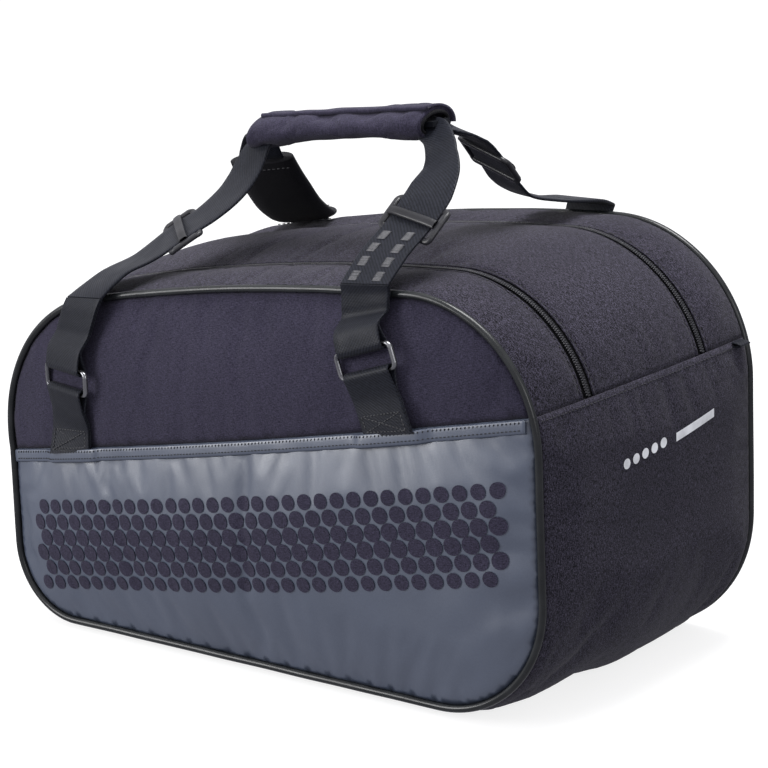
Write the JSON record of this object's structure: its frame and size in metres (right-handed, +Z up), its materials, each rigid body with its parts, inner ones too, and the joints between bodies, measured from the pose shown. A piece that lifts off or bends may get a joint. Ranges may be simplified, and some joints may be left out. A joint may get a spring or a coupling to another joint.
{
  "type": "padel racket bag",
  "caption": "Tapered sports bag for padel rackets with zipped front and back compartments, piped panels and a wrapped handle on webbing straps.",
  "frame": {"origin": "on the floor under the middle of the bag's width and depth", "axes": "+X from the low end to the high end, +Y from the front panel to the back, +Z up"},
  "size_m": [0.5631, 0.3207, 0.4365],
  "materials": {
    "charcoal_fabric": "fine plain weave polyester, padded",
    "heather_fabric": "heathered melange polyester",
    "slate_tarpaulin": "satin coated fabric",
    "piping": "glossy coated piping",
    "zip_tape": "woven tape with a nylon coil",
    "lining": "plain lining",
    "mesh": "open mesh",
    "board": "ribbed board",
    "webbing": "smooth woven webbing",
    "hardware_metal": "dark plated wire",
    "hardware_plastic": "moulded nylon",
    "grip_fabric": "padded wrap with bound edges"
  },
  "bodies": {
    "bag": {"lower_gusset": "heather_fabric", "mid_gusset": "heather_fabric", "front_lower_panel": "slate_tarpaulin", "rear_lower_panel": "heather_fabric", "front_lower_piping": "piping", "rear_lower_piping": "piping", "front_inner_tape": "zip_tape", "rear_inner_tape": "zip_tape", "divider": "lining", "mesh_pocket": "mesh", "base_board": "board", "high_end_tab": "webbing", "low_end_tab": "webbing", "front_low_bend": "webbing", "front_high_bend": "webbing", "rear_low_bend": "webbing", "rear_high_bend": "webbing", "front_low_riser": "webbing", "front_high_riser": "webbing", "rear_low_riser": "webbing", "rear_high_riser": "webbing"},
    "front_flap": {"front_upper_panel": "charcoal_fabric", "front_strip": "heather_fabric", "front_upper_piping": "piping", "front_outer_tape": "zip_tape", "front_low_tab": "webbing", "front_low_ring": "hardware_metal", "front_low_strap": "webbing", "front_high_tab": "webbing", "front_high_ring": "hardware_metal", "front_high_strap": "webbing"},
    "rear_flap": {"rear_upper_panel": "charcoal_fabric", "rear_strip": "heather_fabric", "rear_upper_piping": "piping", "rear_outer_tape": "zip_tape", "rear_low_tab": "webbing", "rear_low_ring": "hardware_metal", "rear_low_strap": "webbing", "rear_high_tab": "webbing", "rear_high_ring": "hardware_metal", "rear_high_strap": "webbing"},
    "handle": {"grip_wrap": "grip_fabric", "grip_core": "webbing"},
    "handle_flap": {"grip_flap": "grip_fabric"},
    "front_slider": {"front_zip_slider": "hardware_metal"},
    "rear_slider": {"rear_zip_slider": "hardware_metal"},
    "front_pull": {"front_zip_pull": "hardware_plastic"},
    "rear_pull": {"rear_zip_pull": "hardware_plastic"},
    "front_low_adjuster": {"front_low_glide": "hardware_plastic"},
    "front_high_adjuster": {"front_high_glide": "hardware_plastic"},
    "rear_high_adjuster": {"rear_high_glide": "hardware_plastic"}
  },
  "joints": [
    {"name": "front_opening", "type": "hinge", "parent": "bag", "child": "front_flap", "pos_m": [-0.00154, -0.1575, 0.19137], "axis": [0.9836, 0, 0.1806], "range_deg": [0, 32], "deforming": ["front_low_bend", "front_high_bend"]},
    {"name": "rear_opening", "type": "hinge", "parent": "bag", "child": "rear_flap", "pos_m": [-0.00154, 0.1575, 0.19137], "axis": [-0.9836, 0, -0.1806], "range_deg": [0, 32], "deforming": ["rear_low_bend", "rear_high_bend"]},
    {"name": "handle_drop", "type": "slide", "parent": "bag", "child": "handle", "axis": [0, 0, -1], "range_m": [0, 0.048], "deforming": ["front_low_riser", "front_high_riser", "rear_low_riser", "rear_high_riser"]},
    {"name": "grip_flap_lift", "type": "hinge", "parent": "handle", "child": "handle_flap", "pos_m": [0.01967, -0.03718, 0.42462], "axis": [0.9945, 0, 0.1045], "range_deg": [0, 88]},
    {"name": "front_zip_travel", "type": "hinge", "parent": "bag", "child": "front_slider", "pos_m": [-0.139, -0.075, 0.159], "axis": [0, 1, 0], "range_deg": [0, 55]},
    {"name": "rear_zip_travel", "type": "hinge", "parent": "bag", "child": "rear_slider", "pos_m": [-0.139, 0.069, 0.159], "axis": [0, 1, 0], "range_deg": [0, 55]},
    {"name": "front_pull_swing", "type": "hinge", "parent": "front_slider", "child": "front_pull", "pos_m": [-0.26932, -0.075, 0.19149], "axis": [0, 1, 0], "range_deg": [0, 110]},
    {"name": "rear_pull_swing", "type": "hinge", "parent": "rear_slider", "child": "rear_pull", "pos_m": [-0.27486, 0.069, 0.19287], "axis": [0, 1, 0], "range_deg": [0, 110]},
    {"name": "front_low_adjuster_follow", "type": "slide", "parent": "bag", "child": "front_low_adjuster", "axis": [0, 0, -1], "range_m": [0, 0.0181]},
    {"name": "front_high_adjuster_follow", "type": "slide", "parent": "bag", "child": "front_high_adjuster", "axis": [0, 0, -1], "range_m": [0, 0.0176]},
    {"name": "rear_high_adjuster_follow", "type": "slide", "parent": "bag", "child": "rear_high_adjuster", "axis": [0, 0, -1], "range_m": [0, 0.0335]}
  ],
  "couplings": [
    {"joint": "front_low_adjuster_follow", "follows": "handle_drop", "ratio": 0.3659},
    {"joint": "front_high_adjuster_follow", "follows": "handle_drop", "ratio": 0.3571},
    {"joint": "rear_high_adjuster_follow", "follows": "handle_drop", "ratio": 0.6875}
  ]
}
